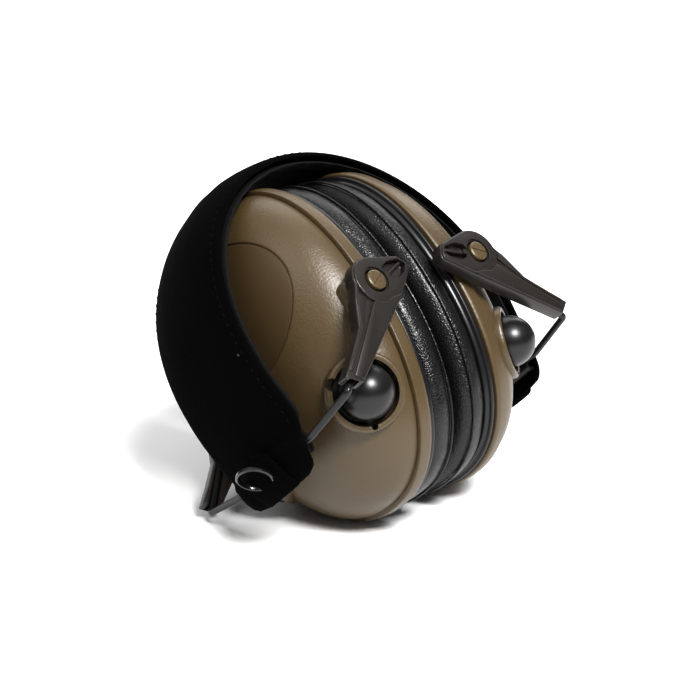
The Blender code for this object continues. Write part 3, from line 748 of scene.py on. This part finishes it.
# %% The arm's own plane
LEG_ANGLE = math.radians(-46.4)
LEG_OFFSET = 0.9
LEG_ACROSS = 37.1
ARM_THICK = 4.6
ARM_SLOPE = 0.06
HEAD_RAISE = 0.55
CHANNEL_HALF = 1.4
CHANNEL_RUN = (9.5, 45.0)
CHANNEL_INNER = 28.0
GROOVE_ANGLE = math.radians(28)
GROOVE_HALF = (2.6, 0.13)


def leg_point(along, aside):
    c, s = math.cos(LEG_ANGLE), math.sin(LEG_ANGLE)
    return PIVOT.x + along * c - aside * s, PIVOT.z + along * s + aside * c


def along_of(x, z):
    return (x - PIVOT.x) * math.cos(LEG_ANGLE) + (z - PIVOT.z) * math.sin(LEG_ANGLE)


def skin(depth, sign):
    """The arm's outer surface, less a depth, as a function of place: it leans in along the bar."""
    def height(x, z):
        return sign * (ARM_FACE - depth - ARM_SLOPE * max(0.0, along_of(x, z) - 4.0))
    return height


def level(y):
    """A flat surface at one y, as a function of place."""
    def height(x, z):
        return y
    return height


def head_arc(radius, first, last, steps=9):
    turns = [math.radians(first + (last - first) * k / (steps - 1)) for k in range(steps)]
    return [(radius * math.cos(t), radius * math.sin(t)) for t in turns]


HEAD_CORNERS = [(-11.8, -4.7), (-11.75, -6.4), (-11.3, -8.6), (-10.6, -9.9), (1.2, -8.4)]
BODY = (HEAD_CORNERS + [(32.4, -1.7), (33.4, 3.6), (26.0, 2.9), (17.0, 2.4), (9.0, 4.9)]
        + head_arc(7.3, 52, 150))
HEAD = ([(-11.5, -4.9), (-11.4, -6.5), (-11.0, -8.4), (-10.4, -9.5), (0.6, -8.0), (3.0, -5.6)]
        + head_arc(6.9, -38, 150, 13))
FACET = [(0.8, -7.7), (31.4, -1.5), (31.9, 1.2), (8.0, -0.2), (4.0, -1.6)]
RIB = [(7.0, 4.8), (8.6, 4.6), (17.0, 1.9), (26.0, 2.5), (31.0, 3.0), (31.0, 2.1), (17.0, 0.9), (7.0, 2.2)]
SCOOP = [(-3.4, -1.6), (-5.2, -0.9), (-8.0, -2.2), (-10.8, -5.4), (-10.6, -7.8), (-7.6, -8.0), (-4.6, -6.6),
         (-3.2, -4.6)]


def in_plane(points):
    return [leg_point(along, aside) for along, aside in points]


def make_arm(name, body, node, side, end):
    low = skin(ARM_THICK, end)
    arm = closed_piece(name, slab(in_plane(BODY), low, skin(HEAD_RAISE, end), 0.45, 3), arm_plastic, side)
    raised = [slab(in_plane(HEAD), skin(ARM_THICK - 1, end), skin(0.0, end), 0.3, 3),
              slab(in_plane(FACET), skin(ARM_THICK - 1, end), skin(0.12, end), 0.22, 2),
              slab(in_plane(RIB), skin(ARM_THICK - 1, end), skin(0.30, end), 0.12, 2)]
    combine(arm, raised, "UNION", side)
    first, last = CHANNEL_RUN
    near, far = LEG_OFFSET - CHANNEL_HALF, LEG_OFFSET + CHANNEL_HALF
    channel = slab(in_plane([(first, near), (last, near), (last, far), (first, far)]),
                   level(end * CHANNEL_INNER), level(end * (LEG_ACROSS + CHANNEL_HALF)))
    eye = rod(3.45, Vector((PIVOT.x, end * 30, PIVOT.z)), Vector((PIVOT.x, end * 46, PIVOT.z)), 64)
    sunk = rod(3.9, Vector((PIVOT.x, end * (ARM_FACE - 0.5), PIVOT.z)),
               Vector((PIVOT.x, end * 46, PIVOT.z)), 64)
    scoop = slab(in_plane(SCOOP), skin(2.0, end), skin(-1.0, end), 0.35, 3)
    combine(arm, [channel, eye, sunk, scoop], "DIFFERENCE", side)
    ridge = slab(in_plane([(-3.4, -3.3), (-10.6, -6.9), (-10.4, -5.9), (-3.2, -2.4)]), skin(2.0, end),
                 skin(0.35, end), 0.3, 3)
    nub_x, nub_z = leg_point(-4.0, -2.9)
    nub = rod(0.85, Vector((nub_x, end * (ARM_FACE - 2.0), nub_z)),
              Vector((nub_x, end * (ARM_FACE - 0.12), nub_z)), 24)
    combine(arm, [ridge, nub], "UNION", side)
    return hang(arm, body, "arm_plastic", node)


def make_pin(name, body, node, side, end):
    start = Vector((PIVOT.x, end * (ARM_FACE + 0.5), PIVOT.z))
    inward = Vector((0, -end, 0))
    profile = [(0, 0), (2.2, 0.02), (2.65, 0.1), (2.88, 0.3), (2.95, 0.6), (2.95, 3.6), (1.5, 3.6), (1.5, 12),
               (0, 12)]
    pin = closed_piece(name, turned(profile, start, inward, 64), olive, side)
    x, z = PIVOT.x, PIVOT.z
    c, s = math.cos(GROOVE_ANGLE), math.sin(GROOVE_ANGLE)
    long, thin = GROOVE_HALF
    groove = [(x - long * c - thin * s, z + long * s - thin * c),
              (x + long * c - thin * s, z - long * s - thin * c),
              (x + long * c + thin * s, z - long * s + thin * c),
              (x - long * c + thin * s, z + long * s + thin * c)]
    cut = slab(groove, level(end * (ARM_FACE + 0.15)), level(end * (ARM_FACE + 2)))
    combine(pin, [cut], "DIFFERENCE", side)
    return hang(pin, body, "olive_plastic", node)


for prefix, side in SIDES.items():
    for end_name, end in ENDS.items():
        corner = f"{prefix}_{end_name}"
        make_arm(f"{corner}_channel_arm", f"{prefix}_arms", f"{corner}_arm", side, end)
        make_pin(f"{corner}_pin", f"{prefix}_arms", f"{corner}_pivot_pin", side, end)
print("arms and pins made")

# %% [markdown]
# ## The headband
# The band is a flat pad bent round the cups: a knitted cover outside with a thick turned edge, a softer
# lining inside that is gathered where the bend is tight, and a spring strap between them. At both ends
# cover and lining part round the wire, and end as two flaps. A ring in the band's cross-section is
# extruded from one end to the other, and every vertex is placed by its turn round that section.

# %% The band's course
BAND_CENTRE_Z = -2.0
BAND_SIDE_RADIUS = 49.7
BAND_CROWN_RADIUS = 56.2
BAND_EDGE_DROP = 4.8
BAND_HALF_WIDTH = 17.9
SIDE_BOW = 2.2
BAND_TURN = math.radians(100.0)
MIDDLE_DEPTH = 2.3
HINGE_RUN = 17.6
HEM_REACH = 5.0
ARC_LENGTH = BAND_SIDE_RADIUS * BAND_TURN
CURL_START, CURL_RADIUS = 18.0, 6.5
BAND_END = 21.2
BAND_LENGTH = ARC_LENGTH + BAND_END


def band_point(course, y, depth):
    """A point on the band: course is the way from the crown, negative to the right."""
    side = -1.0 if course < 0 else 1.0
    way = abs(course)
    turn, run = min(way, ARC_LENGTH) / BAND_SIDE_RADIUS, max(0.0, way - ARC_LENGTH)
    lift = max(0.0, math.cos(turn)) ** 1.2
    bow = (y / BAND_HALF_WIDTH) ** 2
    drop = (BAND_EDGE_DROP * lift + SIDE_BOW * (1 - lift)) * bow
    rise = (BAND_CROWN_RADIUS - BAND_SIDE_RADIUS) * lift - drop
    outward = Vector((math.sin(turn), 0, math.cos(turn)))
    along = Vector((math.cos(turn), 0, -math.sin(turn)))
    curl = max(0.0, run - CURL_START) / CURL_RADIUS
    reach = BAND_SIDE_RADIUS + rise + depth * math.cos(curl) - CURL_RADIUS * (1 - math.cos(curl))
    place = outward * reach + along * (min(run, CURL_START) + (CURL_RADIUS + depth) * math.sin(curl))
    return Vector((place.x * side, y, place.z + BAND_CENTRE_Z))


def run_of(course):
    return max(0.0, abs(course) - ARC_LENGTH)


def hem_swell(course):
    """How far cover and lining each stand back from the hinge sleeve."""
    share = max(0.0, 1.0 - ((run_of(course) - HINGE_RUN) / HEM_REACH) ** 2)
    return 1.5 * min(1.0, 1.6 * share)


def half_width(course):
    """Full width at first, a little narrower at the wire, then rounded off at the end."""
    run = run_of(course)
    into = min(1.0, max(0.0, run - 7.0) / 10.6)
    corner = min(1.0, max(0.0, run - 17.4) / (BAND_END - 17.4))
    narrowed = 2.2 * into * into * (3 - 2 * into)
    return BAND_HALF_WIDTH - narrowed - 5.0 * (1 - math.sqrt(1 - corner * corner))


def flat_ring(turn, power):
    c, s = math.cos(turn), math.sin(turn)
    return math.copysign(abs(c) ** power, c), math.copysign(abs(s) ** power, s)


def band_solid(section, steps, stations, length):
    """Extrudes a section ring along the band, from the right end to the left, and caps both ends."""
    courses = [length * (2 * k / stations - 1) for k in range(stations + 1)]
    placings = [lambda turn, c=course: section(c, turn) for course in courses]
    return ring_solid(placings, closed=False, steps=steps)


def cover_section(course, turn):
    """The cover's section: a slab with thick turned edges, thinned at the band's very ends."""
    across, through = flat_ring(turn, 0.45)
    edge = abs(across) ** 8
    thick = 0.85 + 0.45 * edge
    centre = MIDDLE_DEPTH + 1.55 + hem_swell(course) - 0.25 * edge
    tail = max(0.0, (run_of(course) - (BAND_END - 1.4)) / 1.4)
    depth = centre + thick * through * (1 - 0.6 * tail ** 2)
    wave = noise.noise(Vector((course * 0.05, across * 1.3, 3.0))) * 0.35
    return band_point(course, across * half_width(course), depth + wave * (1 - edge))


def lining_section(course, turn):
    """The lining's section: a soft pad, gathered near its edges where the band is bent most."""
    across, through = flat_ring(turn, 0.6)
    near_edge = abs(across) ** 2
    clear = min(1.0, max(0.0, run_of(course) - 9.0) / 5.0)
    bent = max(0.0, 1.0 - run_of(course) / 8.0)
    ripple = math.sin(course * 0.95 + 1.3 * noise.noise(Vector((course * 0.12, 0, 5.0))) + 0.8 * across)
    uneven = 0.6 + 0.6 * noise.noise(Vector((course * 0.2, across, 1.0)))
    gather = 0.50 * near_edge * bent * ripple * uneven
    inner_side = max(0.0, -through)
    depth = MIDDLE_DEPTH - 1.35 - hem_swell(course) + 0.95 * through
    depth += inner_side * (gather - 0.30 * near_edge * bent + 0.35)
    return band_point(course, across * (half_width(course) - 0.7 - 1.9 * clear), depth)


# %% Cover, lining and strap
blend_from = TO_FRAME @ Vector((-38.0, 0, 0))
blend_to = TO_FRAME @ Vector((38.0, 0, 0))
LINING_LENGTH = ARC_LENGTH + 19.2
STRAP_LENGTH = ARC_LENGTH + 14.0
cover = closed_piece("headband_cover", band_solid(cover_section, 72, 340, BAND_LENGTH), knit, 1, 60.0)
lining = closed_piece("headband_lining", band_solid(lining_section, 64, 340, LINING_LENGTH), lining_cloth,
                      1, 80.0)


def strap_section(course, turn):
    across, through = flat_ring(turn, 0.25)
    return band_point(course, across * 10.0, MIDDLE_DEPTH + 0.38 * through)


strap = closed_piece("headband_spring", band_solid(strap_section, 24, 120, STRAP_LENGTH), spring_steel,
                     1, 40.0)
for piece, slot_name, nodes in ((cover, "band_fabric", "band_cover"),
                                (lining, "band_fabric", "band_lining"),
                                (strap, "spring_steel", "spring_strap")):
    lay_back(piece)
    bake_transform(piece, "right_band", "left_band", start=blend_from, end=blend_to)
    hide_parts(f"right_{nodes}", f"left_{nodes}")
    made.append(piece.name)
print("band", round(2 * BAND_LENGTH), "mm long on its inner side")

# %% [markdown]
# A row of small stitches holds the cover's turned edge. Each is a short bead with rounded ends, repeated
# along both edges by a loop, so that it stays a few dozen faces.

# %% Stitches along the edges
def stitch_row(y_share, depth, pitch=2.6):
    bm = bmesh.new()
    count = int(2 * (ARC_LENGTH + 11.0) / pitch)
    for k in range(count):
        course = (k - (count - 1) / 2) * pitch
        place = band_point(course, y_share * half_width(course), depth + hem_swell(course))
        step = course + 0.4
        ahead = band_point(step, y_share * half_width(step), depth + hem_swell(step))
        bead = bmesh.ops.create_icosphere(bm, subdivisions=1, radius=0.17)["verts"]
        bmesh.ops.scale(bm, vec=(0.8, 0.8, 3.4), verts=bead)
        bmesh.ops.transform(bm, matrix=axis_frame(place, (ahead - place).normalized()), verts=bead)
    return bm


for name, y_share in (("front", -0.90), ("rear", 0.90)):
    row = closed_piece(f"{name}_edge_stitches", stitch_row(y_share, MIDDLE_DEPTH + 2.36), thread)
    lay_back(row)
    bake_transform(row, "right_band", "left_band", start=blend_from, end=blend_to)
    made.append(row.name)

# %% [markdown]
# ## Press studs on their tongues
# A tongue of knit lies over each end of the band and stands proud at its upper end. The stud is an open
# rolled ring that is tilted away from it and touches it on one side.

# %% Tongues and studs
stud_profile = [(4.3, -0.5), (4.9, -0.6), (5.15, 0.0), (5.1, 0.5), (4.8, 0.8), (4.5, 0.7), (4.3, 0.3),
                (4.3, -0.5)]
TONGUE = (10.6, 21.0)
TONGUE_LIFT = 2.6
STUD_RUN = 14.6
STUD_LEAN = math.radians(42.0)
STUD_STAND = 1.7


def tongue_section(run, turn):
    """The tongue's section: it stands proud at its upper, rounded end and meets the hem at the wire."""
    across, through = flat_ring(turn, 0.55)
    share = (run - TONGUE[0]) / (TONGUE[1] - TONGUE[0])
    tip = min(1.0, max(0.0, 1 - (run - TONGUE[0]) / 5.0))
    width = 7.3 * math.sqrt(max(0.02, 1 - tip ** 2.2))
    course = ARC_LENGTH + run
    depth = MIDDLE_DEPTH + 2.6 + hem_swell(course) + TONGUE_LIFT * (1 - share) + 0.85 * through
    return band_point(course, across * width, depth)


tongue_runs = [TONGUE[0] + (TONGUE[1] - TONGUE[0]) * (k / 30) ** 1.5 for k in range(31)]


def on_tongue(run):
    """A point on the tongue's outer face, in the middle of its width."""
    lift = TONGUE_LIFT * (TONGUE[1] - run) / (TONGUE[1] - TONGUE[0])
    return band_point(ARC_LENGTH + run, 0.0, MIDDLE_DEPTH + 3.35 + hem_swell(ARC_LENGTH + run) + lift)


stud_turn = BAND_TURN + STUD_LEAN
stud_axis = Vector((math.sin(stud_turn), 0, math.cos(stud_turn)))
stud_seat = (on_tongue(STUD_RUN - 1) + on_tongue(STUD_RUN + 1)) / 2 + stud_axis * STUD_STAND
for prefix, side in SIDES.items():
    tongue = ring_solid([lambda turn, r=run: tongue_section(r, turn) for run in tongue_runs], False, 56)
    hang(closed_piece(f"{prefix}_hem_tongue", tongue, knit, side, 60.0), f"{prefix}_band", "band_fabric")
    stud = turned(stud_profile, stud_seat, stud_axis, 96)
    hang(closed_piece(f"{prefix}_stud", stud, stud_black, side), f"{prefix}_band", "black_steel",
         f"{prefix}_press_stud")

# %% [markdown]
# ## Wire bails
# The bail is one length of 2 mm wire bent into a U. A curve with a round bevel follows its legs and its
# bends, and is then made a mesh.

# %% Wires
WIRE_RADIUS = 1.0
WIRE_BEND = 2.6
HINGE = band_point(ARC_LENGTH + HINGE_RUN, 0.0, MIDDLE_DEPTH)


def round_corners(corners, radius, steps=10):
    points = [corners[0]]
    for before, corner, after in zip(corners, corners[1:], corners[2:]):
        a, b = (before - corner).normalized(), (after - corner).normalized()
        half = a.angle(b) / 2
        centre = corner + (a + b).normalized() * radius / math.sin(half)
        start = corner + a * radius / math.tan(half) - centre
        stop = corner + b * radius / math.tan(half) - centre
        for k in range(steps + 1):
            points.append(centre + start.slerp(stop, k / steps) if start.length else corner)
    points.append(corners[-1])
    return points


def bail_path():
    leg_start, leg_end = leg_point(12.0, LEG_OFFSET), leg_point(36.2, LEG_OFFSET)
    rear = [Vector((leg_start[0], LEG_ACROSS, leg_start[1])), Vector((leg_end[0], LEG_ACROSS, leg_end[1])),
            Vector((HINGE.x, 18.5, HINGE.z))]
    return round_corners(rear + [to_end(p, -1) for p in reversed(rear)], WIRE_BEND)


def make_bail(prefix, side):
    """A curve along the path, made a closed mesh and hung on its body."""
    curve = bpy.data.curves.new(f"{prefix}_wire", "CURVE")
    curve.dimensions = "3D"
    curve.bevel_depth = WIRE_RADIUS
    curve.bevel_resolution = 7
    curve.use_fill_caps = True
    path = bail_path()
    spline = curve.splines.new("POLY")
    spline.points.add(len(path) - 1)
    for point, place in zip(spline.points, path):
        point.co = (place.x * side, place.y, place.z, 1.0)
    curve.materials.append(wire_black)
    wire = bpy.data.objects.new(f"{prefix}_wire", curve)
    bpy.context.collection.objects.link(wire)
    bpy.context.view_layer.update()
    mesh = bpy.data.meshes.new_from_object(wire.evaluated_get(bpy.context.evaluated_depsgraph_get()))
    bpy.data.objects.remove(wire)
    welded = bmesh.new()
    welded.from_mesh(mesh)
    bmesh.ops.remove_doubles(welded, verts=welded.verts, dist=1e-3)
    bmesh.ops.recalc_face_normals(welded, faces=welded.faces)
    welded.to_mesh(mesh)
    welded.free()
    mesh.shade_smooth()
    mesh.set_sharp_from_angle(angle=math.radians(50))
    bail = bpy.data.objects.new(f"{prefix}_bail", mesh)
    bpy.context.collection.objects.link(bail)
    hang(bail, f"{prefix}_bail", "black_steel", f"{prefix}_wire_bail")


for prefix, side in SIDES.items():
    make_bail(prefix, side)

# %% [markdown]
# ## Finish
# The last cell prints how many pieces were made and their names.

# %% Pieces made
print(len(made), "pieces made:", ", ".join(made))
